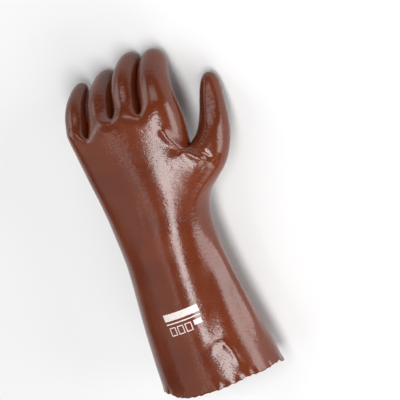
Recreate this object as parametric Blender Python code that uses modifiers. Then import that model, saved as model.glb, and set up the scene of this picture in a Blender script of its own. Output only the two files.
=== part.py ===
"""Chemical-resistant gauntlet glove for the left hand, dipped in one piece, lying palm down.

Metres, +Z up. +Y runs from the cuff to the fingertips and +X to the thumb side. The origin is
on the surface that the glove lies on, below the middle of its box.

The glove is one hollow skin. A coarse cage of rings is drawn from the cuff to the knuckles,
parted there into four fingers, and opened at the side for the thumb. Subdivision rounds the
cage, folds are pressed into it, and Solidify gives it the wall.
"""

import math
from collections import namedtuple

import bmesh
import bpy
from mathutils import Vector

# Sleeve and hand, outer sizes
SLEEVE_LENGTH = 0.2605
CUFF_WIDTH = 0.1195
CUFF_DEPTH = 0.0890
WRIST_WIDTH = 0.0942
WRIST_DEPTH = 0.0670
HAND_BREADTH = 0.1125
HAND_DEPTH = 0.0450
HAND_RISE = 0.0520
HAND_DRIFT = 0.0060

# Fingers: length from the web to the tip along the bent finger, and width near the tip
INDEX_LENGTH = 0.065
INDEX_WIDTH = 0.0278
MIDDLE_LENGTH = 0.073
MIDDLE_WIDTH = 0.0232
RING_LENGTH = 0.070
RING_WIDTH = 0.0229
LITTLE_LENGTH = 0.0625
LITTLE_WIDTH = 0.0170

THUMB_LENGTH = 0.0965
THUMB_WIDTH = 0.0218

CUT_WAVE = 0.006
WALL = 0.0015
SUBDIVISIONS = 1

RING_POINTS = 20

SleeveRow = namedtuple("SleeveRow", "along width depth rise drift lean roll square")
Digit = namedtuple("Digit", "name length root_width tip_width headings pitches facing")
DigitRow = namedtuple("DigitRow", "along width depth")

# along: share of the sleeve's length. width, depth: outer sizes. rise: height of the middle.
# drift: the middle's share of HAND_DRIFT towards the thumb. lean: degrees that the ring tips
# forward. roll: degrees that its little-finger side is raised. square: 2 is an ellipse.
SLEEVE = (
    SleeveRow(0.000, 1.000 * CUFF_WIDTH, 1.000 * CUFF_DEPTH, 0.500 * CUFF_DEPTH, 0.00, 0, 0, 2.0),
    SleeveRow(0.092, 0.972 * CUFF_WIDTH, 0.955 * CUFF_DEPTH, 0.482 * CUFF_DEPTH, -0.27, 0, 0, 2.0),
    SleeveRow(0.196, 0.917 * CUFF_WIDTH, 0.900 * CUFF_DEPTH, 0.455 * CUFF_DEPTH, -0.60, 0, 0, 2.0),
    SleeveRow(0.299, 0.860 * CUFF_WIDTH, 0.854 * CUFF_DEPTH, 0.433 * CUFF_DEPTH, -0.83, 0, 0, 2.0),
    SleeveRow(0.403, 1.030 * WRIST_WIDTH, 1.075 * WRIST_DEPTH, 0.600 * WRIST_DEPTH, -0.58, 0, 0, 2.0),
    SleeveRow(0.499, 0.998 * WRIST_WIDTH, 1.015 * WRIST_DEPTH, 0.656 * WRIST_DEPTH, -0.14, 0, 0, 2.0),
    SleeveRow(0.576, 1.002 * WRIST_WIDTH, 0.985 * WRIST_DEPTH, 0.679 * WRIST_DEPTH, 0.04, 0, 0, 2.1),
    SleeveRow(0.653, 1.102 * WRIST_WIDTH, 0.925 * WRIST_DEPTH, 0.904 * HAND_RISE, 0.96, 2, 1, 2.2),
    SleeveRow(0.740, 0.925 * HAND_BREADTH, 1.290 * HAND_DEPTH, 0.942 * HAND_RISE, 0.94, 4, 2, 2.2),
    SleeveRow(0.828, 0.942 * HAND_BREADTH, 1.200 * HAND_DEPTH, 0.971 * HAND_RISE, 0.80, 6, 3, 2.3),
    SleeveRow(0.927, 0.995 * HAND_BREADTH, 1.080 * HAND_DEPTH, 1.000 * HAND_RISE, 1.20, 10, 5, 2.4),
    SleeveRow(1.000, 1.000 * HAND_BREADTH, 0.980 * HAND_DEPTH, 1.000 * HAND_RISE, 1.00, 16, 6, 2.6),
)

# Rows of SLEEVE that the thumb's hole spans
THUMB_ROWS_AT = (7, 8, 9)

# Angles of the ring's points over the back of the hand, from the thumb side to the other
# side. At the knuckles they gather so that a finger can leave between every second pair.
KNUCKLE_ANGLES = (0, 28, 51, 73, 84, 92, 104, 121, 138, 158, 180)

# How far each web sits forward of the last ring, from the thumb side
WEB_STEPS = (-0.019 * SLEEVE_LENGTH, 0.004 * SLEEVE_LENGTH, -0.054 * SLEEVE_LENGTH)

# How far outwards the middle of the thumb's root sits from the middle of its hole
THUMB_OFFSET = 0.053 * HAND_BREADTH

# How far each point of the cuff's cut edge is drawn in, as a share of CUT_WAVE
CUT_EDGE = (
    0.20, 0.10, 0.35, 0.30, 0.00, -0.15, -0.20, 0.00, 0.80, 0.65,
    0.40, 0.00, -0.20, 0.00, 0.20, 0.10, -0.10, 0.00, -0.40, -1.10,
)

# headings: degrees towards the thumb at the root and the tip. pitches: degrees below level at
# the root, after the middle joint and at the tip. facing: degrees that its rings are turned
# outwards at the root.
FINGERS = (
    Digit("index", INDEX_LENGTH, 0.0335, INDEX_WIDTH, (-10, -11), (25, 52, 66), 0),
    Digit("middle", MIDDLE_LENGTH, 0.0262, MIDDLE_WIDTH, (-11, 7), (17, 54, 79), 0),
    Digit("ring", RING_LENGTH, 0.0288, RING_WIDTH, (-5, 0), (25, 61, 80), 0),
    Digit("little", LITTLE_LENGTH, 0.0225, LITTLE_WIDTH, (-8, 6), (22, 55, 75), 0),
)
THUMB = Digit("thumb", THUMB_LENGTH, 0.0322, THUMB_WIDTH, (52, 1), (18, 28, 34), 20)

# along: share of the digit's length. width, depth: shares of its width there
FINGER_ROWS = (
    DigitRow(0.15, 0.97, 1.02),
    DigitRow(0.32, 1.00, 1.00),
    DigitRow(0.48, 1.00, 0.99),
    DigitRow(0.64, 0.98, 0.96),
    DigitRow(0.79, 0.95, 0.92),
    DigitRow(0.91, 0.80, 0.79),
    DigitRow(0.985, 0.44, 0.45),
)
THUMB_ROWS = (
    DigitRow(0.19, 1.30, 1.22),
    DigitRow(0.32, 1.17, 1.12),
    DigitRow(0.45, 1.09, 1.07),
    DigitRow(0.59, 1.04, 1.03),
    DigitRow(0.73, 0.99, 0.97),
    DigitRow(0.86, 0.90, 0.88),
    DigitRow(0.95, 0.70, 0.68),
    DigitRow(1.00, 0.34, 0.33),
)


# across: share of half the cuff's width. along: share of the sleeve. rise: share of the cuff's
# depth. depth and width: how deep the fold is pressed in, and half its breadth.
FoldPoint = namedtuple("FoldPoint", "across along rise")
Fold = namedtuple("Fold", "name depth width points")
FOLDS = (
    Fold("thumb crease", 0.0024, 0.0060, (
        FoldPoint(1.03, 0.824, 0.584),
        FoldPoint(1.17, 0.802, 0.573),
        FoldPoint(1.32, 0.764, 0.528),
    )),
    Fold("flat flank", 0.0018, 0.0160, (
        FoldPoint(-0.64, 0.040, 0.885),
        FoldPoint(-0.45, 0.500, 0.810),
        FoldPoint(-0.42, 0.825, 0.820),
    )),
    Fold("sleeve crease", 0.0018, 0.0080, (
        FoldPoint(0.70, 0.512, 0.663),
        FoldPoint(0.45, 0.205, 0.893),
        FoldPoint(0.33, 0.040, 0.966),
    )),
    Fold("hollow of the palm", 0.0040, 0.0240, (
        FoldPoint(0.00, 0.800, 0.310),
        FoldPoint(0.10, 0.900, 0.310),
    )),
)


def smooth(share):
    """An even start and stop between 0 and 1."""
    share = min(1.0, max(0.0, share))
    return share * share * (3 - 2 * share)


def mix(start, end, share):
    return start + (end - start) * share


def cage_gain(points):
    """How much wider than its rounded form a ring of this many points has to be."""
    return 3 / (2 + math.cos(2 * math.pi / points))


def oval_point(centre, across, up, width, depth, degrees, square=2.0):
    """A point of an oval; square is 2 for an ellipse, and more for a boxier one."""
    turn = math.radians(degrees)
    right = math.copysign(abs(math.cos(turn)) ** (2 / square), math.cos(turn))
    rise = math.copysign(abs(math.sin(turn)) ** (2 / square), math.sin(turn))
    return centre + across * (right * width / 2) + up * (rise * depth / 2)


def ring_angles(gather):
    """Angles of a whole ring; gather is 0 for even steps and 1 for the knuckles' steps."""
    back = [mix(18 * i, angle, gather) for i, angle in enumerate(KNUCKLE_ANGLES)]
    palm = [360 - angle for angle in reversed(back[1:-1])]
    return back + palm


def sleeve_points(row):
    """The points of one ring of the sleeve or hand."""
    lean = math.radians(row.lean)
    roll = math.radians(row.roll)
    centre = Vector((row.drift * HAND_DRIFT, row.along * SLEEVE_LENGTH, row.rise))
    across = Vector((math.cos(roll), 0, -math.sin(roll)))
    up = Vector((math.sin(roll) * math.cos(lean), math.sin(lean), math.cos(roll) * math.cos(lean)))
    gain = cage_gain(RING_POINTS)
    return [
        oval_point(centre, across, up, gain * row.width, gain * row.depth, angle, row.square)
        for angle in ring_angles(smooth((row.along - 0.5) / 0.42))
    ]


def add_ring(bm, points):
    return [bm.verts.new(point) for point in points]


def bridge(bm, near, far):
    """A band of faces between two closed rings of as many points."""
    count = len(near)
    for i in range(count):
        j = (i + 1) % count
        bm.faces.new((near[i], near[j], far[j], far[i]))


def digit_path(start, digit, steps=60):
    """Shares, places and directions along a digit that bends from its root to its tip."""
    root, bent, tip = digit.pitches
    place = start.copy()
    path = []
    for i in range(steps + 1):
        share = i / steps
        pitch = math.radians(mix(mix(root, bent, smooth(share / 0.6)), tip, smooth((share - 0.45) / 0.5)))
        heading = math.radians(mix(*digit.headings, smooth(share / 0.65)))
        level = math.cos(pitch)
        ahead = Vector((math.sin(heading) * level, math.cos(heading) * level, -math.sin(pitch)))
        turn = math.radians(digit.facing * (1 - smooth(share / 0.5)))
        facing = Vector((math.sin(heading + turn) * level, math.cos(heading + turn) * level, ahead.z))
        path.append((share, place.copy(), facing))
        place += ahead * (digit.length / steps)
    return path


def on_path(path, share):
    """The path's place and direction at a share of its length."""
    nearest = min(path, key=lambda step: abs(step[0] - share))
    return nearest[1], nearest[2]


def add_digit(bm, root, digit, rows, upright, first_angle, offset=0.0):
    """A closed digit from the ring of points where it leaves the hand."""
    count = len(root)
    start = sum((vert.co for vert in root), Vector((offset * count, 0, 0))) / count
    path = digit_path(start, digit)
    gain = cage_gain(count)
    near = root
    for row in rows:
        place, ahead = on_path(path, row.along)
        across = ahead.cross(upright).normalized()
        up = across.cross(ahead)
        width = gain * mix(digit.root_width, digit.tip_width, smooth(row.along / 0.9))
        points = [
            oval_point(place, across, up, width * row.width, width * row.depth, first_angle + i * 360 / count)
            for i in range(count)
        ]
        far = add_ring(bm, points)
        bridge(bm, near, far)
        near = far
    bm.faces.new(near)


def add_fingers(bm, web):
    """Part the last ring by three webs and draw a finger from each part."""
    count = len(web)
    webs = []
    for column, step in zip((3, 5, 7), WEB_STEPS):
        back, palm = web[column], web[count - column]
        back.co.y += step
        palm.co.y += step
        webs.append(bm.verts.new((back.co + palm.co) / 2))
    sides = [web[0], *webs, web[count // 2]]
    roll = math.radians(SLEEVE[-1].roll)
    upright = Vector((math.sin(roll), 0, math.cos(roll)))
    for n, finger in enumerate(FINGERS):
        i = 2 * n + 1
        back = [web[i], web[i + 1], web[i + 2]]
        palm = [web[count - i - 2], web[count - i - 1], web[count - i]]
        add_digit(bm, [*back, sides[n + 1], *palm, sides[n]], finger, FINGER_ROWS, upright, 45)


def add_thumb(bm, rings):
    """Draw the thumb from the edge of the hole at the side of the hand."""
    low, middle, high = (rings[row] for row in THUMB_ROWS_AT)
    root = [
        high[0], high[1], high[2], middle[2], low[2], low[1],
        low[0], low[-1], low[-2], middle[-2], high[-2], high[-1],
    ]
    add_digit(bm, root[::-1], THUMB, THUMB_ROWS, Vector((0, 0, 1)), 210, THUMB_OFFSET)


def build_cage():
    """The coarse cage of the whole outer skin, open at the cuff."""
    bm = bmesh.new()
    rings = [add_ring(bm, sleeve_points(row)) for row in SLEEVE]
    for vert, share in zip(rings[0], CUT_EDGE):
        vert.co.y += share * CUT_WAVE
    count = RING_POINTS
    at_thumb = (count - 2, count - 1, 0, 1)
    for k in range(len(rings) - 1):
        for i in range(count):
            if k in THUMB_ROWS_AT[:2] and i in at_thumb:
                continue
            j = (i + 1) % count
            bm.faces.new((rings[k][i], rings[k][j], rings[k + 1][j], rings[k + 1][i]))
    add_fingers(bm, rings[-1])
    add_thumb(bm, rings)
    loose = [vert for vert in bm.verts if not vert.link_faces]
    bmesh.ops.delete(bm, geom=loose, context="VERTS")
    bmesh.ops.recalc_face_normals(bm, faces=bm.faces)
    return bm


def fold_place(point):
    return Vector((point.across * CUFF_WIDTH / 2, point.along * SLEEVE_LENGTH, point.rise * CUFF_DEPTH))


def distance_to_fold(place, points):
    """The distance to a line through the fold's points."""
    nearest = math.inf
    for start, end in zip(points, points[1:]):
        span = end - start
        share = min(1.0, max(0.0, (place - start).dot(span) / span.length_squared))
        nearest = min(nearest, (place - start - span * share).length)
    return nearest


def press_folds(bm):
    """Press each fold of the table into the skin, deepest along its line."""
    bm.normal_update()
    inward = {vert: -vert.normal for vert in bm.verts}
    for fold in FOLDS:
        points = [fold_place(point) for point in fold.points]
        for vert in bm.verts:
            share = distance_to_fold(vert.co, points) / fold.width
            vert.co += inward[vert] * (fold.depth * math.exp(-share * share))


def rounded_skin():
    """The cage rounded by subdivision, with its folds, resting on Z = 0 around the origin."""
    bm = build_cage()
    cage = bpy.data.meshes.new("cage")
    bm.to_mesh(cage)
    bm.free()
    holder = bpy.data.objects.new("cage", cage)
    bpy.context.scene.collection.objects.link(holder)
    rounding = holder.modifiers.new("rounding", "SUBSURF")
    rounding.levels = rounding.render_levels = SUBDIVISIONS
    depsgraph = bpy.context.evaluated_depsgraph_get()
    skin = bpy.data.meshes.new_from_object(holder.evaluated_get(depsgraph))
    bpy.data.objects.remove(holder)
    bpy.data.meshes.remove(cage)

    bm = bmesh.new()
    bm.from_mesh(skin)
    press_folds(bm)
    low = Vector([min(vert.co[i] for vert in bm.verts) for i in range(3)])
    high = Vector([max(vert.co[i] for vert in bm.verts) for i in range(3)])
    base = Vector(((low.x + high.x) / 2, (low.y + high.y) / 2, low.z))
    bmesh.ops.translate(bm, verts=bm.verts, vec=-base)
    bm.to_mesh(skin)
    bm.free()
    return skin


def dipped_plastic():
    """Red-brown PVC with a glossy surface."""
    material = bpy.data.materials.new("red brown PVC")
    material.use_nodes = True
    shader = material.node_tree.nodes["Principled BSDF"]
    shader.inputs["Base Color"].default_value = (0.160, 0.030, 0.012, 1)
    shader.inputs["Roughness"].default_value = 0.30
    return material


def make_glove(collection):
    """The one node: the skin with its wall added inside."""
    skin = rounded_skin()
    skin.name = "glove"
    skin.materials.append(dipped_plastic())
    glove = bpy.data.objects.new("glove", skin)
    collection.objects.link(glove)
    wall = glove.modifiers.new("wall", "SOLIDIFY")
    wall.thickness = WALL
    wall.offset = -1
    wall.use_even_offset = True
    wall.use_quality_normals = True
    for polygon in skin.polygons:
        polygon.use_smooth = True


def clear_scene():
    for obj in list(bpy.data.objects):
        bpy.data.objects.remove(obj)


def main():
    clear_scene()
    collection = bpy.data.collections.new("chemical resistant glove")
    bpy.context.scene.collection.children.link(collection)
    make_glove(collection)


main()
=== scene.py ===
"""Chemical-resistant gauntlet for the left hand, dipped in one piece in glossy red-brown PVC.

The glove lies palm down on a pale floor. It is one skin with a wall: a coarse cage is extruded
ring by ring from the cuff to the knuckles, parted into four fingers and opened for the thumb,
then rounded. Folds, ridges and the wavy cut of the cuff are pressed into the rounded skin.
Metres, +Z up, +Y from the cuff to the fingertips, +X to the thumb side.
"""

import logging
import math
from collections.abc import Sequence
from dataclasses import dataclass
from enum import Enum

import bmesh
import bpy
from bmesh.types import BMesh, BMVert
from bpy.types import bpy_prop_collection, ID, Material, Mesh, Node, NodeSocket, NodeTree, Object
from mathutils import Matrix, Vector, noise
from mathutils.kdtree import KDTree


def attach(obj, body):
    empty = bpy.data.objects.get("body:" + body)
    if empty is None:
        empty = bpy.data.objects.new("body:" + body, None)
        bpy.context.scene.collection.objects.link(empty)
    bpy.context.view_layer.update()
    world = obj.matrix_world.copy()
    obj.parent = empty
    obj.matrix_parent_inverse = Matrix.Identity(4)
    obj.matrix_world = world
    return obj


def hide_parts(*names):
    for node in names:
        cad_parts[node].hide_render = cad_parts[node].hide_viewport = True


log = logging.getLogger("gauntlet")

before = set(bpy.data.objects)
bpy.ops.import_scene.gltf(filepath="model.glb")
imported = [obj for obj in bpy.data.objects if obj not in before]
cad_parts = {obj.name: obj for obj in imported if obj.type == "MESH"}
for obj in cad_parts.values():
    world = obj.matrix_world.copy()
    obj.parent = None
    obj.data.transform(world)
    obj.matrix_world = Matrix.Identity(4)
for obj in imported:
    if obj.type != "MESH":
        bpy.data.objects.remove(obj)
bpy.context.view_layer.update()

Point = tuple[float, float, float]
Pair = tuple[float, float]
Colour = tuple[float, float, float, float]

# The folds are listed in millimetres, and everything else is in metres
MILLIMETRES = 1000.0

# Shares of a digit's length: the end of its first bend, the start and length of its second
# bend, and where its heading and the turn of its rings have settled
FIRST_BEND_END = 0.60
SECOND_BEND_START = 0.45
SECOND_BEND_LENGTH = 0.50
HEADING_SETTLED = 0.65
TURN_SETTLED = 0.50


class Side(Enum):
    """Which way a fold moves the skin."""

    IN = 1.0
    OUT = -1.0


def smooth(share: float) -> float:
    """Return share with an even start and stop between 0 and 1."""
    share = min(1.0, max(0.0, share))
    return share * share * (3 - 2 * share)


def mix(start: float, end: float, share: float) -> float:
    """Return the number at a share of the way from start to end."""
    return start + (end - start) * share


@dataclass(frozen=True)
class SleeveRow:
    """One ring of the sleeve or hand.

    along is a share of the sleeve's length, drift a share of the hand's drift to the thumb
    side, lean the degrees that the ring tips forward, roll the degrees that its little-finger
    side is raised, and square is 2 for an ellipse.
    """

    along: float
    width: float
    depth: float
    rise: float
    drift: float
    lean: float = 0.0
    roll: float = 0.0
    square: float = 2.0


@dataclass(frozen=True)
class DigitRow:
    """One ring of a finger: a share of its length, and shares of its width there."""

    along: float
    width: float
    depth: float


@dataclass(frozen=True)
class Digit:
    """The axis and girth of a finger.

    headings are degrees towards the thumb side at the root and the tip, pitches are degrees
    below level at the root, the middle joint and the tip, and facing is how many degrees
    farther its rings are turned at the root.
    """

    name: str
    length: float
    root_width: float
    tip_width: float
    headings: tuple[float, float]
    pitches: tuple[float, float, float]
    facing: float = 0.0


@dataclass(frozen=True)
class Fold:
    """A fold or ridge along a line of points on the skin, in millimetres.

    depth is how far the skin moves there, width is half the fold's breadth, and fade is the
    share of the line over which each end dies out.
    """

    name: str
    side: Side
    depth: float
    width: float
    points: tuple[Point, ...]
    fade: float = 0.25

    @property
    def line(self) -> list[Vector]:
        """Return the fold's points in metres."""
        return [Vector(point) / MILLIMETRES for point in self.points]


def direction(heading: float, pitch: float) -> Vector:
    """Return the unit vector of a heading and of a pitch below level, in radians."""
    level = math.cos(pitch)
    return Vector((math.sin(heading) * level, math.cos(heading) * level, -math.sin(pitch)))


def digit_path(start: Vector, digit: Digit, steps: int = 60) -> list[tuple[float, Vector, Vector]]:
    """Follow a digit that bends from its root to its tip.

    Args:
        start: Middle of the ring where the digit leaves the hand.
        digit: The digit's axis.
        steps: How many short straight runs make up the axis.

    Returns:
        Share of the length, place and facing direction of each step.
    """
    root, bent, tip = digit.pitches
    place = start.copy()
    path = []
    for i in range(steps + 1):
        share = i / steps
        first_bend = mix(root, bent, smooth(share / FIRST_BEND_END))
        second_bend = smooth((share - SECOND_BEND_START) / SECOND_BEND_LENGTH)
        pitch = math.radians(mix(first_bend, tip, second_bend))
        heading = math.radians(mix(*digit.headings, smooth(share / HEADING_SETTLED)))
        turned = math.radians(digit.facing * (1 - smooth(share / TURN_SETTLED)))
        path.append((share, place.copy(), direction(heading + turned, pitch)))
        place += direction(heading, pitch) * (digit.length / steps)
    return path


def oval_point(
    centre: Vector, across: Vector, up: Vector, size: Pair, degrees: float, square: float = 2.0
) -> Vector:
    """Place one point of an oval.

    Args:
        centre: Middle of the oval.
        across: Direction of its width.
        up: Direction of its depth.
        size: Full width and depth.
        degrees: Angle round the oval, from across towards up.
        square: 2 for an ellipse, and more for fuller corners.

    Returns:
        The point.
    """
    turn = math.radians(degrees)
    right = math.copysign(abs(math.cos(turn)) ** (2 / square), math.cos(turn))
    rise = math.copysign(abs(math.sin(turn)) ** (2 / square), math.sin(turn))
    return centre + across * (right * size[0] / 2) + up * (rise * size[1] / 2)


def add_object(name: str, data: ID) -> Object:
    """Make an object and put it in the scene.

    Args:
        name: Name of the object.
        data: Its mesh, light or camera.

    Returns:
        The object.
    """
    made = bpy.data.objects.new(name, data)
    bpy.context.scene.collection.objects.link(made)
    return made


def stand(item: Object, place: Vector, axes: Sequence[Vector]) -> None:
    """Stand an object in its place, with its X, Y and Z along three directions."""
    item.matrix_world = Matrix.Translation(place) @ Matrix(axes).transposed().to_4x4()


def search_tree(verts: Sequence[BMVert]) -> KDTree:
    """Sort vertices by place.

    Args:
        verts: The vertices.

    Returns:
        A tree that finds them by place and gives their indices.
    """
    tree = KDTree(len(verts))
    for vert in verts:
        tree.insert(vert.co, vert.index)
    tree.balance()
    return tree


@dataclass
class GloveSkin:
    """The whole outer skin of the glove, from its cut edge to the fingertips.

    Each ring of the cage has ring_points points. From gather_from on, over gather_over of the
    length, they gather at knuckle_angles, where the fingers part at web_columns. web_steps
    moves each web forward. cut_edge moves each point of the first ring, in shares of cut_wave.
    A digit has its tip's width at taper_end of its length.
    """

    length: float = 0.2605
    cuff_width: float = 0.1195
    cuff_depth: float = 0.0890
    wrist_width: float = 0.0942
    wrist_depth: float = 0.0670
    hand_breadth: float = 0.1125
    hand_depth: float = 0.0450
    hand_rise: float = 0.0520
    hand_drift: float = 0.0060
    cut_wave: float = 0.0060
    wall: float = 0.0015
    ring_points: int = 20
    subdivisions: int = 3
    origin: Point = (0.017127, 0.152512, 0.0)
    thumb_rows_at: tuple[int, int, int] = (7, 8, 9)
    thumb_offset: float = 0.00596
    knuckle_angles: tuple[float, ...] = (0, 28, 51, 73, 84, 92, 104, 121, 138, 158, 180)
    web_steps: tuple[float, ...] = (-0.00495, 0.00104, -0.01407)
    web_columns: tuple[int, ...] = (3, 5, 7)
    gather_from: float = 0.50
    gather_over: float = 0.42
    taper_end: float = 0.90
    finger_first_angle: float = 45.0
    thumb_first_angle: float = 210.0
    thumb_base: float = 0.74
    cut_edge: tuple[float, ...] = (
        0.20, 0.10, 0.35, 0.30, 0.00, -0.15, -0.20, 0.00, 0.80, 0.65,
        0.40, 0.00, -0.20, 0.00, 0.20, 0.10, -0.10, 0.00, -0.40, -1.10,
    )
    fingers: tuple[Digit, ...] = (
        Digit("index", 0.0650, 0.0335, 0.0278, (-10, -11), (25, 52, 66)),
        Digit("middle", 0.0730, 0.0262, 0.0232, (-11, 7), (17, 54, 79)),
        Digit("ring", 0.0700, 0.0288, 0.0229, (-5, 0), (25, 61, 80)),
        Digit("little", 0.0625, 0.0225, 0.0170, (-8, 6), (22, 55, 75)),
    )
    thumb: Digit = Digit("thumb", 0.0965, 0.0322, 0.0218, (52, 1), (18, 28, 34), 20)
    finger_rows: tuple[DigitRow, ...] = (
        DigitRow(0.15, 0.97, 1.02), DigitRow(0.32, 1.00, 1.00), DigitRow(0.48, 1.00, 0.99),
        DigitRow(0.64, 0.98, 0.96), DigitRow(0.79, 0.95, 0.92), DigitRow(0.91, 0.80, 0.79),
        DigitRow(0.985, 0.44, 0.45),
    )
    thumb_rows: tuple[DigitRow, ...] = (
        DigitRow(0.19, 1.30, 1.22), DigitRow(0.32, 1.17, 1.12), DigitRow(0.45, 1.09, 1.07),
        DigitRow(0.59, 1.04, 1.03), DigitRow(0.73, 0.99, 0.97), DigitRow(0.86, 0.90, 0.88),
        DigitRow(0.95, 0.70, 0.68), DigitRow(1.00, 0.34, 0.33),
    )

    def rows(self) -> tuple[SleeveRow, ...]:
        """List the rings of the sleeve and hand.

        Returns:
            The rings from the cuff to the knuckles.
        """
        cuff, deep = self.cuff_width, self.cuff_depth
        wrist, thick = self.wrist_width, self.wrist_depth
        hand, flat, rise = self.hand_breadth, self.hand_depth, self.hand_rise
        return (
            SleeveRow(0.000, 1.000 * cuff, 1.000 * deep, 0.500 * deep, 0.00),
            SleeveRow(0.092, 0.972 * cuff, 0.955 * deep, 0.482 * deep, -0.27),
            SleeveRow(0.196, 0.917 * cuff, 0.900 * deep, 0.455 * deep, -0.60),
            SleeveRow(0.299, 0.860 * cuff, 0.854 * deep, 0.433 * deep, -0.83),
            SleeveRow(0.403, 1.030 * wrist, 1.075 * thick, 0.600 * thick, -0.58),
            SleeveRow(0.499, 0.998 * wrist, 1.015 * thick, 0.656 * thick, -0.14),
            SleeveRow(0.576, 1.002 * wrist, 0.985 * thick, 0.679 * thick, 0.04, 0, 0, 2.1),
            SleeveRow(0.653, 1.102 * wrist, 0.925 * thick, 0.904 * rise, 0.96, 2, 1, 2.2),
            SleeveRow(0.740, 0.925 * hand, 1.290 * flat, 0.942 * rise, 0.94, 4, 2, 2.2),
            SleeveRow(0.828, 0.942 * hand, 1.200 * flat, 0.971 * rise, 0.80, 6, 3, 2.3),
            SleeveRow(0.927, 0.995 * hand, 1.080 * flat, 1.000 * rise, 1.20, 10, 5, 2.4),
            SleeveRow(1.000, 1.000 * hand, 0.980 * flat, 1.000 * rise, 1.00, 16, 6, 2.6),
        )

    @staticmethod
    def cage_gain(points: int) -> float:
        """Return how much wider than its rounded form a ring of this many points has to be."""
        return 3 / (2 + math.cos(2 * math.pi / points))

    def ring_angles(self, gather: float) -> list[float]:
        """Return the angles of a ring's points.

        Args:
            gather: 0 for even steps and 1 for the knuckles' steps.

        Returns:
            Degrees, from the thumb side over the back of the hand and round.
        """
        step = 360 / self.ring_points
        back = [mix(step * i, angle, gather) for i, angle in enumerate(self.knuckle_angles)]
        return back + [360 - angle for angle in reversed(back[1:-1])]

    def ring_places(self, row: SleeveRow) -> list[Vector]:
        """Place the points of one ring of the sleeve or hand.

        Args:
            row: The ring's size and place.

        Returns:
            The points, in order round the ring.
        """
        lean, roll = math.radians(row.lean), math.radians(row.roll)
        centre = Vector((row.drift * self.hand_drift, row.along * self.length, row.rise))
        across = Vector((math.cos(roll), 0, -math.sin(roll)))
        upright = math.cos(lean)
        up = Vector((math.sin(roll) * upright, math.sin(lean), math.cos(roll) * upright))
        gain = self.cage_gain(self.ring_points)
        size = (gain * row.width, gain * row.depth)
        angles = self.ring_angles(smooth((row.along - self.gather_from) / self.gather_over))
        return [oval_point(centre, across, up, size, angle, row.square) for angle in angles]

    def grow_ring(
        self, bm: BMesh, ring: Sequence[BMVert], places: Sequence[Vector], along: float
    ) -> list[BMVert]:
        """Extrude a closed ring of edges and set the new ring in its places.

        Args:
            bm: The cage.
            ring: Vertices of the ring, in order round it.
            places: Where each of the new vertices goes.
            along: Distance from the cuff along the glove, stored on the new vertices.

        Returns:
            The new ring, in the same order.
        """
        reach = bm.verts.layers.float["along"]
        count = len(ring)
        edges = [bm.edges.get((ring[i], ring[(i + 1) % count])) for i in range(count)]
        grown = bmesh.ops.extrude_edge_only(bm, edges=edges)
        fresh = {item for item in grown["geom"] if isinstance(item, BMVert)}
        far = []
        for vert, place in zip(ring, places):
            others = (edge.other_vert(vert) for edge in vert.link_edges)
            partner = next(other for other in others if other in fresh)
            partner.co = place
            partner[reach] = along
            far.append(partner)
        return far

    def grow_digit(
        self, bm: BMesh, root: list[BMVert], digit: Digit, rows: Sequence[DigitRow],
        upright: Vector, first_angle: float, base: float, offset: float = 0.0,
    ) -> None:
        """Extrude a closed digit from the ring of vertices where it leaves the hand.

        Args:
            bm: The cage.
            root: Ring of vertices at the digit's root.
            digit: Axis and girth.
            rows: Rings from the root to the tip.
            upright: The way that the back of the digit faces.
            first_angle: Angle of the first vertex round the digit, in degrees.
            base: Distance of the root from the cuff along the glove.
            offset: How far towards the thumb side the axis starts from the root's middle.
        """
        count = len(root)
        start = sum((vert.co for vert in root), Vector((offset * count, 0, 0))) / count
        path = digit_path(start, digit)
        gain = self.cage_gain(count)
        near = root
        for row in rows:
            _, place, ahead = min(path, key=lambda step: abs(step[0] - row.along))
            across = ahead.cross(upright).normalized()
            up = across.cross(ahead)
            taper = smooth(row.along / self.taper_end)
            girth = gain * mix(digit.root_width, digit.tip_width, taper)
            size = (girth * row.width, girth * row.depth)
            angles = [first_angle + i * 360 / count for i in range(count)]
            places = [oval_point(place, across, up, size, angle) for angle in angles]
            near = self.grow_ring(bm, near, places, base + row.along * digit.length)
        tip = [bm.edges.get((near[i], near[(i + 1) % count])) for i in range(count)]
        bmesh.ops.edgeloop_fill(bm, edges=tip)

    def grow_fingers(self, bm: BMesh, last: list[BMVert]) -> None:
        """Part the knuckles' ring with three webs and grow a finger from each part.

        Args:
            bm: The cage.
            last: Ring of vertices at the knuckles.
        """
        count = len(last)
        reach = bm.verts.layers.float["along"]
        webs = []
        for column, step in zip(self.web_columns, self.web_steps):
            back, palm = last[column], last[count - column]
            bmesh.ops.translate(bm, verts=[back, palm], vec=(0, step, 0))
            middle = bmesh.ops.create_vert(bm, co=(back.co + palm.co) / 2)["vert"][0]
            middle[reach] = self.length
            bm.edges.new((back, middle))
            bm.edges.new((middle, palm))
            webs.append(middle)
        sides = [last[0], *webs, last[count // 2]]
        roll = math.radians(self.rows()[-1].roll)
        upright = Vector((math.sin(roll), 0, math.cos(roll)))
        angle = self.finger_first_angle
        for n, finger in enumerate(self.fingers):
            i = 2 * n + 1
            back = last[i:i + 3]
            palm = last[count - i - 2:count - i + 1]
            root = [*back, sides[n + 1], *palm, sides[n]]
            self.grow_digit(bm, root, finger, self.finger_rows, upright, angle, self.length)

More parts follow.
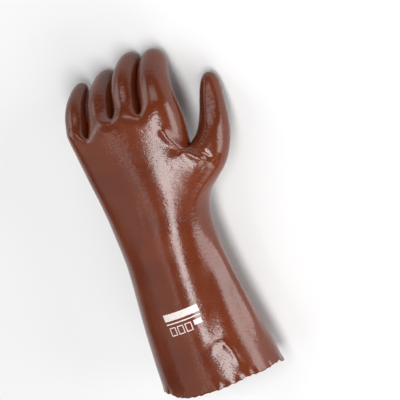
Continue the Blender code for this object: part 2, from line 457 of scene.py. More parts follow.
    def grow_thumb(self, bm: BMesh, rings: list[list[BMVert]]) -> None:
        """Open the side of the hand and grow the thumb from the edge of the hole.

        Args:
            bm: The cage.
            rings: Every ring of the sleeve and hand, from the cuff on.
        """
        low, middle, high = (rings[row] for row in self.thumb_rows_at)
        covered = {*low, *middle, *high}
        removed = [middle[-1], middle[0], middle[1]]
        touched = {face for vert in removed for face in vert.link_faces}
        hole = [face for face in touched if set(face.verts) <= covered]
        bmesh.ops.delete(bm, geom=hole, context="FACES")
        root = [
            high[0], high[1], high[2], middle[2], low[2], low[1],
            low[0], low[-1], low[-2], middle[-2], high[-2], high[-1],
        ]
        self.grow_digit(
            bm, root[::-1], self.thumb, self.thumb_rows, Vector((0, 0, 1)),
            self.thumb_first_angle, self.thumb_base * self.length, self.thumb_offset,
        )

    def cage(self) -> BMesh:
        """Build the coarse cage of the whole outer skin.

        Returns:
            The cage, open at the cuff.
        """
        bm = bmesh.new()
        reach = bm.verts.layers.float.new("along")
        rows = self.rows()
        circle = bmesh.ops.create_circle(bm, segments=self.ring_points, radius=self.cuff_width / 2)
        ring = list(circle["verts"])
        for vert, place, share in zip(ring, self.ring_places(rows[0]), self.cut_edge):
            vert.co = place + Vector((0, share * self.cut_wave, 0))
            vert[reach] = share * self.cut_wave
        rings = [ring]
        for row in rows[1:]:
            places = self.ring_places(row)
            rings.append(self.grow_ring(bm, rings[-1], places, row.along * self.length))
        self.grow_fingers(bm, rings[-1])
        self.grow_thumb(bm, rings)
        bmesh.ops.translate(bm, verts=bm.verts, vec=-Vector(self.origin))
        bmesh.ops.recalc_face_normals(bm, faces=bm.faces)
        return bm

    def rounded(self) -> Mesh:
        """Round the cage by subdivision.

        Returns:
            The fine skin.
        """
        bm = self.cage()
        coarse = bpy.data.meshes.new("glove_cage")
        bm.to_mesh(coarse)
        bm.free()
        holder = add_object("glove_cage", coarse)
        rounding = holder.modifiers.new("rounding", "SUBSURF")
        rounding.levels = rounding.render_levels = self.subdivisions
        graph = bpy.context.evaluated_depsgraph_get()
        skin = bpy.data.meshes.new_from_object(holder.evaluated_get(graph))
        bpy.data.objects.remove(holder)
        bpy.data.meshes.remove(coarse)
        return skin


@dataclass
class FoldPress:
    """The folds, creases and ridges that are pressed into the rounded skin.

    A fold up to narrow millimetres wide gets a finer mesh, margin widths and margin_more metres
    to each side of its line, which is evened out evening times by evening_share. A fold still
    moves the skin at tail widths from its line. stride is the step of a search along a line, as
    a share of its reach.
    """

    narrow: float = 4.6
    margin: float = 2.2
    margin_more: float = 0.002
    evening: int = 4
    evening_share: float = 0.5
    tail: float = 2.6
    stride: float = 0.4
    broad: tuple[Fold, ...] = (
        Fold("flat flank", Side.IN, 1.8, 16.0, (
            (-55.4, -142.1, 78.8), (-44.0, -22.3, 72.1), (-42.2, 62.4, 73.0),
        ), 0.0),
        Fold("sleeve crease", Side.IN, 1.5, 10.0, (
            (24.7, -19.1, 59.0), (9.8, -99.1, 79.5), (2.6, -142.1, 86.0),
        ), 0.4),
        Fold("hollow of the palm", Side.IN, 4.0, 24.0, (
            (-17.1, 55.9, 27.6), (-11.2, 81.9, 27.6),
        ), 0.0),
    )
    fine: tuple[Fold, ...] = (
        Fold("ridge to the thumb", Side.OUT, 1.8, 3.6, (
            (28.2, 96.0, 67.3), (31.9, 81.6, 65.9), (38.0, 67.6, 59.5), (48.2, 58.2, 60.6),
            (57.3, 49.9, 58.2), (62.4, 42.8, 52.4),
        ), 0.15),
        Fold("valley above the ridge", Side.IN, 1.6, 3.0, (
            (40.7, 70.4, 52.8), (49.1, 63.3, 57.5), (56.4, 55.1, 58.2), (62.0, 47.2, 54.6),
        )),
        Fold("flat of the thumb", Side.IN, 1.2, 5.5, (
            (67.3, 110.0, 20.0), (68.4, 100.4, 27.6), (69.0, 89.2, 35.5), (70.2, 75.5, 42.7),
        ), 0.3),
        Fold("web of the thumb", Side.OUT, 1.0, 9.5, (
            (34.6, 68.0, 63.6), (42.8, 58.5, 62.7), (52.3, 48.1, 60.6),
        ), 0.2),
        Fold("hollow beside the thumb", Side.IN, 3.6, 19.0, (
            (52.2, 41.0, 60.1), (41.5, 17.4, 53.3),
        ), 0),
        Fold("spine of the sleeve", Side.OUT, 0.6, 14.0, (
            (6.4, 36.6, 76.4), (2.8, 17.8, 76.9), (-1.1, -8.4, 76.6), (-4.4, -27.8, 76.1),
            (-7.9, -50.4, 75.4), (-9.8, -65.0, 75.7), (-13.6, -97.8, 79.9),
            (-16.1, -122.8, 84.2),
        ), 0.15),
        Fold("ridge of the flank", Side.OUT, 2.4, 6.5, (
            (30.1, -6.0, 52.2), (28.6, -21.8, 49.5), (27.9, -43.0, 46.4), (29.4, -71.2, 42.7),
            (32.7, -96.3, 45.6), (36.7, -120.3, 49.2), (39.9, -140.4, 51.9),
        ), 0.3),
        Fold("arch at the cuff", Side.OUT, 0.8, 3.2, (
            (-5.0, -120.2, 82.6), (2.9, -113.4, 79.3), (11.3, -112.9, 76.0),
            (16.5, -122.6, 75.4), (18.8, -133.0, 76.3), (19.6, -142.7, 77.9),
        )),
        Fold("crease near the cut", Side.OUT, 0.8, 3.0, (
            (-41.9, -131.4, 82.2), (-39.2, -139.5, 84.1), (-37.7, -147.4, 85.6),
        )),
        Fold("pale band of the forearm", Side.OUT, 0.5, 4.5, (
            (-18.3, 39.0, 78.1), (-23.3, 10.2, 78.1), (-30.9, -18.5, 76.9),
        )),
        Fold("arc under the ring finger", Side.OUT, 0.6, 3.0, (
            (-28.4, 109.0, 73.3), (-22.0, 104.8, 74.9), (-14.1, 103.5, 74.7),
            (-3.1, 105.9, 73.3),
        )),
    )

    def reached(self, tree: KDTree, start: Vector, end: Vector, reach: float) -> set[int]:
        """Find the vertices near a straight run.

        Args:
            tree: Search tree of the skin's vertices.
            start: Start of the run.
            end: End of the run.
            reach: How near a vertex has to be.

        Returns:
            Their indices.
        """
        steps = max(1, math.ceil((end - start).length / (self.stride * reach)))
        found: set[int] = set()
        for k in range(steps + 1):
            around = tree.find_range(start.lerp(end, k / steps), reach)
            found.update(index for _, index, _ in around)
        return found

    def pushes(self, fold: Fold, tree: KDTree, places: Sequence[Vector]) -> dict[int, float]:
        """Work out how far one fold pushes the skin in.

        Args:
            fold: The fold.
            tree: Search tree of the skin's vertices.
            places: Place of each vertex.

        Returns:
            Distance inwards for each vertex near the fold, by its index.
        """
        line = fold.line
        width = fold.width / MILLIMETRES
        spans = [(start, end, (end - start).length) for start, end in zip(line, line[1:])]
        total = sum(length for _, _, length in spans)
        near: dict[int, Pair] = {}
        gone = 0.0
        for start, end, length in spans:
            for index in self.reached(tree, start, end, self.tail * width):
                along = (places[index] - start).dot(end - start) / length ** 2
                share = min(1.0, max(0.0, along))
                away = (places[index] - start.lerp(end, share)).length
                if index not in near or away < near[index][0]:
                    near[index] = (away, (gone + share * length) / total)
            gone += length
        result = {}
        for index, (away, share) in near.items():
            fade = smooth(min(share, 1 - share) / fold.fade) if fold.fade else 1.0
            bell = math.exp(-(away / width) ** 2)
            result[index] = fold.side.value * fold.depth / MILLIMETRES * bell * fade
        return result

    def beside_narrow_folds(self, bm: BMesh) -> set[int]:
        """Find the vertices along the narrow folds.

        Args:
            bm: The skin.

        Returns:
            Their indices.
        """
        tree = search_tree(bm.verts)
        near: set[int] = set()
        for fold in self.fine:
            if fold.width > self.narrow:
                continue
            reach = self.margin * fold.width / MILLIMETRES + self.margin_more
            for start, end in zip(fold.line, fold.line[1:]):
                near |= self.reached(tree, start, end, reach)
        return near

    def refine(self, bm: BMesh) -> None:
        """Halve the mesh along the narrow folds and even it out, so that they come out crisp.

        Args:
            bm: The skin.
        """
        near = self.beside_narrow_folds(bm)
        edges = [edge for edge in bm.edges if all(vert.index in near for vert in edge.verts)]
        bmesh.ops.subdivide_edges(bm, edges=edges, cuts=1, use_grid_fill=True)
        near = self.beside_narrow_folds(bm)
        bm.verts.ensure_lookup_table()
        inside = [bm.verts[index] for index in near if not bm.verts[index].is_boundary]
        for _ in range(self.evening):
            bmesh.ops.smooth_vert(
                bm, verts=inside, factor=self.evening_share,
                use_axis_x=True, use_axis_y=True, use_axis_z=True,
            )

    def press(self, bm: BMesh, folds: Sequence[Fold]) -> None:
        """Press some folds into the skin together, along its normals.

        Args:
            bm: The skin.
            folds: The folds.
        """
        bm.normal_update()
        tree = search_tree(bm.verts)
        places = [vert.co.copy() for vert in bm.verts]
        depth = [0.0] * len(places)
        for fold in folds:
            for index, push in self.pushes(fold, tree, places).items():
                depth[index] += push
        for vert, push in zip(bm.verts, depth):
            vert.co -= vert.normal * push

    def apply(self, bm: BMesh) -> None:
        """Press the broad folds, then the fine ones on a finer mesh.

        Args:
            bm: The skin.
        """
        self.press(bm, self.broad)
        self.refine(bm)
        self.press(bm, self.fine)


@dataclass
class SoftUnevenness:
    """The slow waves that a soft dipped skin keeps from its former and from its packing.

    height and length are those of the slow waves, fine_height and fine_length of the quick
    ones, which are read elsewhere in the noise. drawn_out is how much both are stretched along
    the glove.
    """

    height: float = 0.00035
    length: float = 0.032
    fine_height: float = 0.00010
    fine_length: float = 0.011
    drawn_out: float = 0.55
    elsewhere: Point = (7.3, 2.1, 5.9)

    def height_at(self, place: Vector) -> float:
        """Work out how far the skin stands out.

        Args:
            place: A place on the skin.

        Returns:
            Distance outwards there.
        """
        stretched = Vector((place.x, place.y * self.drawn_out, place.z))
        slow = noise.noise(stretched / self.length, noise_basis="PERLIN_ORIGINAL")
        quick_place = stretched / self.fine_length + Vector(self.elsewhere)
        quick = noise.noise(quick_place, noise_basis="PERLIN_ORIGINAL")
        return slow * self.height + quick * self.fine_height

    def apply(self, bm: BMesh) -> None:
        """Move each vertex of the skin a little along its normal.

        Args:
            bm: The skin.
        """
        bm.normal_update()
        for vert in bm.verts:
            vert.co += vert.normal * self.height_at(vert.co)


@dataclass(frozen=True)
class EdgeNoise:
    """Noise round the cut: its waves in a metre, and where in the noise it is read."""

    per_metre: float
    elsewhere: Pair

    def at(self, around: float) -> float:
        """Return the noise at a distance round the cut."""
        return noise.noise(Vector((around * self.per_metre, *self.elsewhere)))


@dataclass
class CutEdge:
    """The knife-cut edge of the cuff, which wanders and waves a little.

    The waves die out over the band. wave is their height along the glove, with even, uneven
    and ragged waves in these shares, and flutter is how far the edge stands in and out. centre
    is the cuff's middle in X and Z, flatness its depth beside its width, and radius turns an
    angle round it into metres.
    """

    band: float = 0.012
    wave: float = 0.0012
    shares: Point = (0.22, 1.0, 0.35)
    flutter: float = 0.00045
    pitch: float = 0.0074
    centre: Pair = (-0.0171, 0.0445)
    flatness: float = 0.75
    radius: float = 0.052
    wander: EdgeNoise = EdgeNoise(90, (3.7, 1.2))
    uneven: EdgeNoise = EdgeNoise(170, (8.1, 4.4))
    ragged: EdgeNoise = EdgeNoise(480, (2.3, 6.8))
    wave_wander: float = 2.4
    flutter_wander: float = 3.0
    flutter_beat: float = 0.5

    def shift(self, vert: BMVert) -> Vector:
        """Work out how far the waves of the cut move a vertex.

        Args:
            vert: A vertex of the skin beside the cut.

        Returns:
            Its move, as far as it would be on the cut itself.
        """
        across, rise = self.centre
        around = math.atan2(vert.co.z - rise, (vert.co.x - across) * self.flatness) * self.radius
        wander = self.wander.at(around)
        phase = 2 * math.pi * around / self.pitch
        even = math.sin(phase + self.wave_wander * wander)
        waves = (even, self.uneven.at(around), self.ragged.at(around))
        along = self.wave * sum(share * wave for share, wave in zip(self.shares, waves))
        out = self.flutter * math.cos(phase * self.flutter_beat + wander * self.flutter_wander)
        return Vector((0, along, 0)) + vert.normal * out

    def apply(self, bm: BMesh) -> None:
        """Refine the band beside the cut and give the cut its waves.

        Args:
            bm: The skin.
        """
        reach = bm.verts.layers.float["along"]
        band = [edge for edge in bm.edges if all(vert[reach] < self.band for vert in edge.verts)]
        bmesh.ops.subdivide_edges(bm, edges=band, cuts=1, use_grid_fill=True)
        bm.normal_update()
        bm.verts.index_update()
        tree = search_tree([vert for vert in bm.verts if vert.is_boundary])
        for vert in bm.verts:
            if vert[reach] <= self.band:
                _, _, away = tree.find(vert.co)
                vert.co += self.shift(vert) * (1 - smooth(away / self.band)) ** 2


class NodeBench:
    """A node tree, with short ways to add nodes to it and to feed them."""

    def __init__(self, tree: NodeTree) -> None:
        """Keep the tree at hand."""
        self.tree = tree

    def feed(self, entry: NodeSocket, source: object) -> None:
        """Feed an input.

        Args:
            entry: The input.
            source: The socket that feeds it, or its value.
        """
        if isinstance(source, NodeSocket):
            self.tree.links.new(source, entry)
        else:
            entry.default_value = source

    def node(
        self, kind: str, feeds: dict[str | int, object] | None = None, **values: object
    ) -> Node:
        """Add a node.

        Args:
            kind: Type of the node.
            feeds: Source of each of its inputs, by name or number.
            values: The node's own properties.

        Returns:
            The node.
        """
        made = self.tree.nodes.new(kind)
        for key, value in values.items():
            setattr(made, key, value)
        for key, source in (feeds or {}).items():
            self.feed(made.inputs[key], source)
        return made

    def math(self, operation: str, *operands: object) -> NodeSocket:
        """Add a math node whose operands are numbers or sockets, and return its result."""
        made = self.node("ShaderNodeMath", dict(enumerate(operands)), operation=operation)
        return made.outputs[0]


class FinishBench(NodeBench):
    """A material's node tree with the shader in place."""

    def __init__(self, name: str) -> None:
        """Make the material and keep its tree and shader at hand.

        Args:
            name: Name of the material.
        """
        self.material = bpy.data.materials.new(name)
        self.material.use_nodes = True
        super().__init__(self.material.node_tree)
        self.shader = self.tree.nodes["Principled BSDF"]

    def finish(self, feeds: dict[str, object]) -> None:
        """Feed inputs of the shader by their names, each with a socket or a value."""
        for name, source in feeds.items():
            self.feed(self.shader.inputs[name], source)

    def group(self, tree: NodeTree, vector: NodeSocket, **values: object) -> Node:
        """Place a node group that reads the given coordinates, with values for its other inputs."""
        return self.node("ShaderNodeGroup", {"Vector": vector, **values}, node_tree=tree)

    def bump(self, height: NodeSocket, distance: float) -> None:
        """Give the finish a relief; a height of 1 stands this many metres out."""
        relief = self.node("ShaderNodeBump", {"Height": height, "Distance": distance})
        self.finish({"Normal": relief.outputs["Normal"]})

    def place(self) -> NodeSocket:
        """Return coordinates on the piece, in metres."""
        return self.node("ShaderNodeTexCoord").outputs["Object"]

    def parts(self, vector: NodeSocket) -> bpy_prop_collection:
        """Return the X, Y and Z of a vector socket."""
        return self.node("ShaderNodeSeparateXYZ", {0: vector}).outputs

    def along_coordinates(self, across: float) -> NodeSocket:
        """Build coordinates that run along the glove and its fingers.

        Args:
            across: Scale across the glove, beside 1 along it.

        Returns:
            A vector socket.
        """
        parts = self.parts(self.place())
        reach = self.node("ShaderNodeAttribute", attribute_name="along")
        joined = self.node("ShaderNodeCombineXYZ", {
            "X": self.math("MULTIPLY", parts["X"], across),
            "Y": reach.outputs["Fac"],
            "Z": self.math("MULTIPLY", parts["Z"], across),
        })
        return joined.outputs[0]


class Effects:
    """Shader node groups that more than one finish uses."""

    PATCH_DETAIL = 4.0
    PATCH_ROUGHNESS = 0.55
    PATCH_EDGES = (0.32, 0.68)
    RIB_DETAIL = 1.5
    RIB_DISTORTION = 0.6
    GRAIN_DETAIL = 2.0
    GRAIN_SHARE = 0.20

    @staticmethod
    def begin(
        name: str, inputs: dict[str, str], outputs: dict[str, str]
    ) -> tuple[NodeBench, bpy_prop_collection, bpy_prop_collection]:
        """Make a node group with its named sockets.

        Args:
            name: Name of the group.
            inputs: Kind of each input.
            outputs: Kind of each output.

        Returns:
            The group's bench, what it is given and what it gives.
        """
        tree = bpy.data.node_groups.new(name, "ShaderNodeTree")
        for way, sockets in (("INPUT", inputs), ("OUTPUT", outputs)):
            for title, kind in sockets.items():
                tree.interface.new_socket(title, in_out=way, socket_type=f"NodeSocket{kind}")
        given, result = tree.nodes.new("NodeGroupInput"), tree.nodes.new("NodeGroupOutput")
        return NodeBench(tree), given.outputs, result.inputs

    @classmethod
    def mottle(cls) -> NodeTree:
        """Build the group that gives soft, uneven patches between two colours.

        Returns:
            The group, with the inputs Vector, Scale, First and Second, and the outputs Colour
            and Mask.
        """
        bench, given, result = cls.begin(
            "uneven patches",
            {"Vector": "Vector", "Scale": "Float", "First": "Color", "Second": "Color"},
            {"Colour": "Color", "Mask": "Float"},
        )
        cloud = bench.node("ShaderNodeTexNoise", {
            "Vector": given["Vector"], "Scale": given["Scale"],
            "Detail": cls.PATCH_DETAIL, "Roughness": cls.PATCH_ROUGHNESS,
        })
        low, high = cls.PATCH_EDGES
        spread = bench.node("ShaderNodeMapRange", {
            "Value": cloud.outputs["Fac"], "From Min": low, "From Max": high,
        })
        mask = spread.outputs["Result"]
        colours = {0: mask, 6: given["First"], 7: given["Second"]}
        blend = bench.node("ShaderNodeMix", colours, data_type="RGBA")
        bench.feed(result["Colour"], blend.outputs[2])
        bench.feed(result["Mask"], mask)
        return bench.tree

    @classmethod
    def ripple(cls) -> NodeTree:
        """Build the group that gives fine ripples across the glove, broken up by noise.

        Returns:
            The group, with the inputs Vector, Scale and Grain, and the output Height.
        """
        bench, given, result = cls.begin(
            "crepe ripples",
            {"Vector": "Vector", "Scale": "Float", "Grain": "Float"},
            {"Height": "Float"},
        )
        ribs = bench.node("ShaderNodeTexNoise", {
            "Vector": given["Vector"], "Scale": given["Scale"],
            "Detail": cls.RIB_DETAIL, "Distortion": cls.RIB_DISTORTION,
        }).outputs["Fac"]
        grain = bench.node("ShaderNodeTexNoise", {
            "Vector": given["Vector"], "Scale": given["Grain"], "Detail": cls.GRAIN_DETAIL,
        }).outputs["Fac"]
        bench.feed(result["Height"], bench.math("MULTIPLY_ADD", grain, cls.GRAIN_SHARE, ribs))
        return bench.tree


@dataclass(frozen=True)
class Patch:
    """One rectangle of the print: its middle, from the print's middle, and its full size."""

    middle: Pair
    size: Pair

    def mask(self, bench: FinishBench, parts: bpy_prop_collection) -> NodeSocket:
        """Build the mask of the rectangle.

        Args:
            bench: The bench of the material that carries the print.
            parts: X and Y from the print's middle.

        Returns:
            A socket that is 1 inside the rectangle and 0 elsewhere.
        """
        within = []
        for axis, middle, size in zip("XY", self.middle, self.size):
            away = bench.math("ABSOLUTE", bench.math("SUBTRACT", parts[axis], middle))
            within.append(bench.math("LESS_THAN", away, size / 2))
        return bench.math("MULTIPLY", *within)


@dataclass(frozen=True)
class PrintedBlock:
    """The plain white print on the sleeve: a bar, a line, three empty frames and a short bar.

    centre and turn lay it on the sleeve, and it ends at the height lowest.
    """

    centre: Point = (-0.0185, -0.0765, 0.075)
    turn: float = 4.0
    lowest: float = 0.055
    bars: tuple[Patch, ...] = (
        Patch((0.0, 0.0), (0.0365, 0.0066)),
        Patch((0.0, -0.0062), (0.0360, 0.0011)),
        Patch((0.0135, -0.0118), (0.0075, 0.0046)),
    )
    frames_across: tuple[float, ...] = (-0.0130, -0.0045, 0.0040)
    frames_along: float = -0.0135
    frame_outside: Pair = (0.0066, 0.0080)
    frame_inside: Pair = (0.0050, 0.0064)

    def mask(self, bench: FinishBench) -> NodeSocket:
        """Build the mask of the ink.

        Args:
            bench: The bench of the material that carries the print.

        Returns:
            A socket that is 1 on the ink and 0 elsewhere.
        """
        place = bench.place()
        turn = (0, 0, math.radians(self.turn))
        laid = bench.node("ShaderNodeMapping", {
            "Vector": place, "Location": self.centre, "Rotation": turn,
        }, vector_type="TEXTURE")
        parts = bench.parts(laid.outputs[0])
        masks = [bar.mask(bench, parts) for bar in self.bars]
        for across in self.frames_across:
            middle = (across, self.frames_along)
            outside = Patch(middle, self.frame_outside).mask(bench, parts)
            inside = Patch(middle, self.frame_inside).mask(bench, parts)
            masks.append(bench.math("SUBTRACT", outside, inside))
        covered = masks[0]
        for mask in masks[1:]:
            covered = bench.math("ADD", covered, mask)
        above = bench.math("GREATER_THAN", bench.parts(place)["Z"], self.lowest)
        return bench.math("MULTIPLY", covered, above)


@dataclass(frozen=True)
class DippedPlastic:
    """Glossy red-brown PVC with the faint crepe of its lining showing through.

    The scales are those of the patches of colour, the wear of the ink, the smears in the gloss,
    the crepe and its grain, and the patches in which the crepe fades. Of a pair, the first
    number is how much a mask adds and the second is what it adds to.
    """

    colour: Colour = (0.121, 0.0222, 0.0056, 1)
    deep: Colour = (0.092, 0.0150, 0.0036, 1)
    ink: Colour = (0.72, 0.66, 0.64, 1)
    roughness: Pair = (0.085, 0.165)
    ink_cover: Pair = (0.25, 0.75)
    ink_roughness: float = 0.22
    crepe_height: float = 0.00028
    crepe_share: Pair = (0.72, 0.38)
    patch_scale: float = 26.0
    wear_scale: float = 900.0
    smear_scale: float = 55.0
    crepe_scale: float = 500.0
    crepe_grain: float = 1500.0
    fading_scale: float = 21.0
    across: float = 0.5
    crepe_across: float = 0.42
    ior: float = 1.52

    def material(self, mottle: NodeTree, ripple: NodeTree) -> Material:
        """Build the material.

        Args:
            mottle: The group of uneven patches.
            ripple: The group of fine ripples.

        Returns:
            The finished material.
        """
        bench = FinishBench("dipped_red_brown_pvc")
        along = bench.along_coordinates(self.across)
        patches = bench.group(
            mottle, along, Scale=self.patch_scale, First=self.deep, Second=self.colour
        )
        wear = bench.group(mottle, along, Scale=self.wear_scale).outputs["Mask"]
        cover = bench.math("MULTIPLY_ADD", wear, *self.ink_cover)
        ink = bench.math("MULTIPLY", PrintedBlock().mask(bench), cover)
        colours = {0: ink, 6: patches.outputs["Colour"], 7: self.ink}
        printed = bench.node("ShaderNodeMix", colours, data_type="RGBA")

        smears = bench.group(mottle, along, Scale=self.smear_scale).outputs["Mask"]
        rough = bench.math("MULTIPLY_ADD", smears, *self.roughness)
        rough = bench.math("MULTIPLY_ADD", ink, self.ink_roughness, rough)

        fine_along = bench.along_coordinates(self.crepe_across)
        crepe = bench.group(ripple, fine_along, Scale=self.crepe_scale, Grain=self.crepe_grain)
        fading = bench.group(mottle, along, Scale=self.fading_scale).outputs["Mask"]
        share = bench.math("MULTIPLY_ADD", fading, *self.crepe_share)
        bench.bump(bench.math("MULTIPLY", crepe.outputs["Height"], share), self.crepe_height)
        bench.finish({"Base Color": printed.outputs[2], "Roughness": rough, "IOR": self.ior})
        return bench.material


@dataclass(frozen=True)
class KnittedLining:
    """The knitted cotton lining that the skin is dipped on, seen inside the cuff.

    stitch is the length of a stitch. centre is the middle of the sleeve in X and Z, and wales
    is how many radians of wave run round it in one radian. roughness is given as for the
    dipped plastic.
    """

    colour: Colour = (0.30, 0.17, 0.105, 1)
    deep: Colour = (0.19, 0.095, 0.055, 1)
    roughness: Pair = (0.12, 0.80)
    sheen: float = 0.3
    stitch: float = 0.0011
    centre: Pair = (-0.019, 0.042)
    wales: float = 260.0
    course_share: float = 0.35
    relief: float = 0.00012
    patch_scale: float = 140.0
    fuzz_scale: float = 2600.0
    fuzz_grain: float = 5200.0

    def material(self, mottle: NodeTree, ripple: NodeTree) -> Material:
        """Build the material from the shared groups.

        Args:
            mottle: The group of uneven patches.
            ripple: The group of fine ripples.

        Returns:
            The finished material.
        """
        bench = FinishBench("knitted_cotton_lining")
        place = bench.place()
        patches = bench.group(
            mottle, place, Scale=self.patch_scale, First=self.deep, Second=self.colour
        ).outputs
        parts = bench.parts(place)
        beside = bench.math("SUBTRACT", parts["X"], self.centre[0])
        above = bench.math("SUBTRACT", parts["Z"], self.centre[1])
        turn = bench.math("ARCTAN2", above, beside)
        wales = bench.math("SINE", bench.math("MULTIPLY", turn, self.wales))
        phase = bench.math("MULTIPLY", parts["Y"], 2 * math.pi / self.stitch)
        knit = bench.math("MULTIPLY_ADD", bench.math("SINE", phase), self.course_share, wales)
        fuzz = bench.group(ripple, place, Scale=self.fuzz_scale, Grain=self.fuzz_grain)
        bench.bump(bench.math("ADD", knit, fuzz.outputs["Height"]), self.relief)
        rough = bench.math("MULTIPLY_ADD", patches["Mask"], *self.roughness)
        bench.finish({
            "Base Color": patches["Colour"], "Roughness": rough, "Sheen Weight": self.sheen,
        })
        return bench.material


@dataclass
class Gauntlet:
    """The finished glove: its skin, folds, cut edge, wall and finishes."""

    skin: GloveSkin
    folds: FoldPress
    unevenness: SoftUnevenness
    cut: CutEdge
    dip: DippedPlastic = DippedPlastic()
    lining: KnittedLining = KnittedLining()

    def shape(self) -> Mesh:
        """Shape the outer skin.

        Returns:
            Its mesh, open at the cuff and without a wall.
        """
        mesh = self.skin.rounded()
        mesh.name = "gauntlet_skin"
        bm = bmesh.new()
        bm.from_mesh(mesh)
        for work in (self.folds, self.unevenness, self.cut):
            work.apply(bm)
        for vert in bm.verts:
            vert.co.z = max(vert.co.z, 0.0)
        bmesh.ops.recalc_face_normals(bm, faces=bm.faces)
        for face in bm.faces:
            face.smooth = True
        bm.to_mesh(mesh)
        bm.free()
        return mesh

    def build(self) -> Object:
        """Build and dress the glove.

        Returns:
            The glove's object, at the origin.
        """
        mesh = self.shape()
        glove = add_object("gauntlet_skin", mesh)
        mottle, ripple = Effects.mottle(), Effects.ripple()
        mesh.materials.clear()
        for finish in (self.dip, self.lining):
            mesh.materials.append(finish.material(mottle, ripple))
        wall = glove.modifiers.new("wall", "SOLIDIFY")
        wall.thickness = self.skin.wall
        wall.offset = -1
        wall.use_even_offset = False
        wall.material_offset = 1
        wall.material_offset_rim = 0
        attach(glove, "root")
        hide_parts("glove")
        return glove


@dataclass
class SoftBox:
    """One rectangular studio light, aimed from its place at a point.

    radiance is how bright its face looks, and run is the way of its long side.
    """

    name: str
    place: Point
    aim: Point
    size: Pair
    radiance: float
    run: Point = (0.0, 1.0, 0.0)

    def build(self) -> None:
        """Make the light; its power follows from its size and its radiance."""
        data = bpy.data.lights.new(self.name, "AREA")
        data.shape = "RECTANGLE"
        data.size, data.size_y = self.size
        data.energy = self.radiance * math.pi * self.size[0] * self.size[1]
        light = add_object(self.name, data)
        back = (Vector(self.place) - Vector(self.aim)).normalized()
        run = Vector(self.run)
        long_side = (run - back * run.dot(back)).normalized()
        stand(light, Vector(self.place), (long_side, back.cross(long_side), back))
        light.visible_camera = False


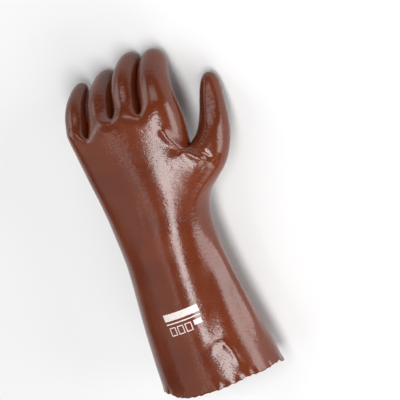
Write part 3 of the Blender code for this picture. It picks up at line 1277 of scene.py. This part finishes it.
@dataclass
class Studio:
    """The pale floor, the lights and the camera.

    yaw and pitch turn the camera from straight above, and lean tilts its picture. It looks at
    anchor, given from the cuff's middle, moved by aim_shift to its right and up.
    """

    ambient: float = 0.07
    floor_size: float = 6.0
    floor_tone: float = 0.70
    floor_roughness: float = 0.9
    floor_gloss: float = 0.1
    lights: tuple[SoftBox, ...] = (
        SoftBox("side_box", (-1.00, 0.05, 0.95), (0.0, 0.0, 0.05), (2.0, 1.25), 0.60),
        SoftBox("edge_box", (-0.52, 0.05, 1.40), (0.0, 0.0, 0.05), (1.5, 0.09), 3.4),
        SoftBox("key_box", (0.40, -1.40, 0.90), (0.0, 0.0, 0.0), (1.1, 0.8), 4.0, (1, 0, 0)),
        SoftBox("top_box", (0.34, -0.15, 1.45), (0.0, 0.0, 0.05), (1.3, 0.36), 12.5),
        SoftBox("flank_box", (1.35, -0.10, 0.43), (0.0, 0.0, 0.04), (1.4, 0.70), 5.4),
        SoftBox("tip_box", (0.18, 1.35, 0.80), (0.05, 0.09, 0.03), (0.95, 0.36), 3.2, (1, 0, 0)),
        SoftBox("front_box", (-1.15, 0.95, 0.46), (0.0, 0.1, 0.04), (1.4, 0.72), 2.2, (1, 1.2, 0)),
    )
    yaw: float = 27.0
    pitch: float = 12.0
    lean: float = 22.0
    distance: float = 4.0
    view_height: float = 0.370
    anchor: Point = (0.0, -0.0015, 0.0445)
    aim_shift: Pair = (-0.02266, 0.16326)
    sensor: float = 36.0
    farthest: float = 50.0

    def build_floor(self) -> None:
        """Lay the plain pale floor under the glove."""
        bm = bmesh.new()
        bmesh.ops.create_grid(bm, x_segments=2, y_segments=2, size=self.floor_size)
        mesh = bpy.data.meshes.new("studio_floor")
        bm.to_mesh(mesh)
        bm.free()
        bench = FinishBench("pale_floor")
        bench.finish({
            "Base Color": (self.floor_tone, self.floor_tone, self.floor_tone, 1),
            "Roughness": self.floor_roughness,
            "Specular IOR Level": self.floor_gloss,
        })
        mesh.materials.append(bench.material)
        floor = add_object("studio_floor", mesh)

    def build_world(self) -> None:
        """Set the soft even light that fills the shadows."""
        world = bpy.data.worlds.new("studio_air")
        world.use_nodes = True
        back = world.node_tree.nodes["Background"]
        back.inputs["Color"].default_value = (1.0, 1.0, 1.0, 1)
        back.inputs["Strength"].default_value = self.ambient
        bpy.context.scene.world = world
        bpy.context.scene.view_settings.view_transform = "Standard"

    def view_axes(self) -> tuple[Vector, Vector, Vector]:
        """Work out how the camera is turned.

        Returns:
            Its right, up and backward directions.
        """
        yaw, pitch, lean = (math.radians(angle) for angle in (self.yaw, self.pitch, self.lean))
        level = math.cos(pitch)
        back = Vector((math.sin(yaw) * level, math.sin(pitch), math.cos(yaw) * level))
        level_up = (Vector((0, 1, 0)) - back * back.y).normalized()
        level_right = level_up.cross(back)
        right = level_right * math.cos(lean) - level_up * math.sin(lean)
        up = level_right * math.sin(lean) + level_up * math.cos(lean)
        return right, up, back

    def build_camera(self) -> None:
        """Set the camera at the photograph's viewing angle, far off with a long lens."""
        right, up, back = self.view_axes()
        beside, above = self.aim_shift
        aim = Vector(self.anchor) - Vector(GloveSkin.origin) + right * beside + up * above
        data = bpy.data.cameras.new("camera")
        data.sensor_width = self.sensor
        data.lens = self.sensor * self.distance / self.view_height
        data.clip_end = self.farthest
        camera = add_object("camera", data)
        stand(camera, aim + back * self.distance, (right, up, back))
        bpy.context.scene.camera = camera

    def build(self) -> None:
        """Build the floor, the air, the lights and the camera."""
        self.build_floor()
        self.build_world()
        for light in self.lights:
            light.build()
        self.build_camera()


def main() -> None:
    """Build the glove, then the studio round it."""
    logging.basicConfig(level=logging.INFO, format="%(name)s: %(message)s")
    gauntlet = Gauntlet(GloveSkin(), FoldPress(), SoftUnevenness(), CutEdge())
    glove = gauntlet.build()
    log.info("%s: %d vertices in its outer skin", glove.name, len(glove.data.vertices))
    Studio().build()
    log.info("studio: floor, lights and camera are set")


if __name__ == "__main__":
    main()
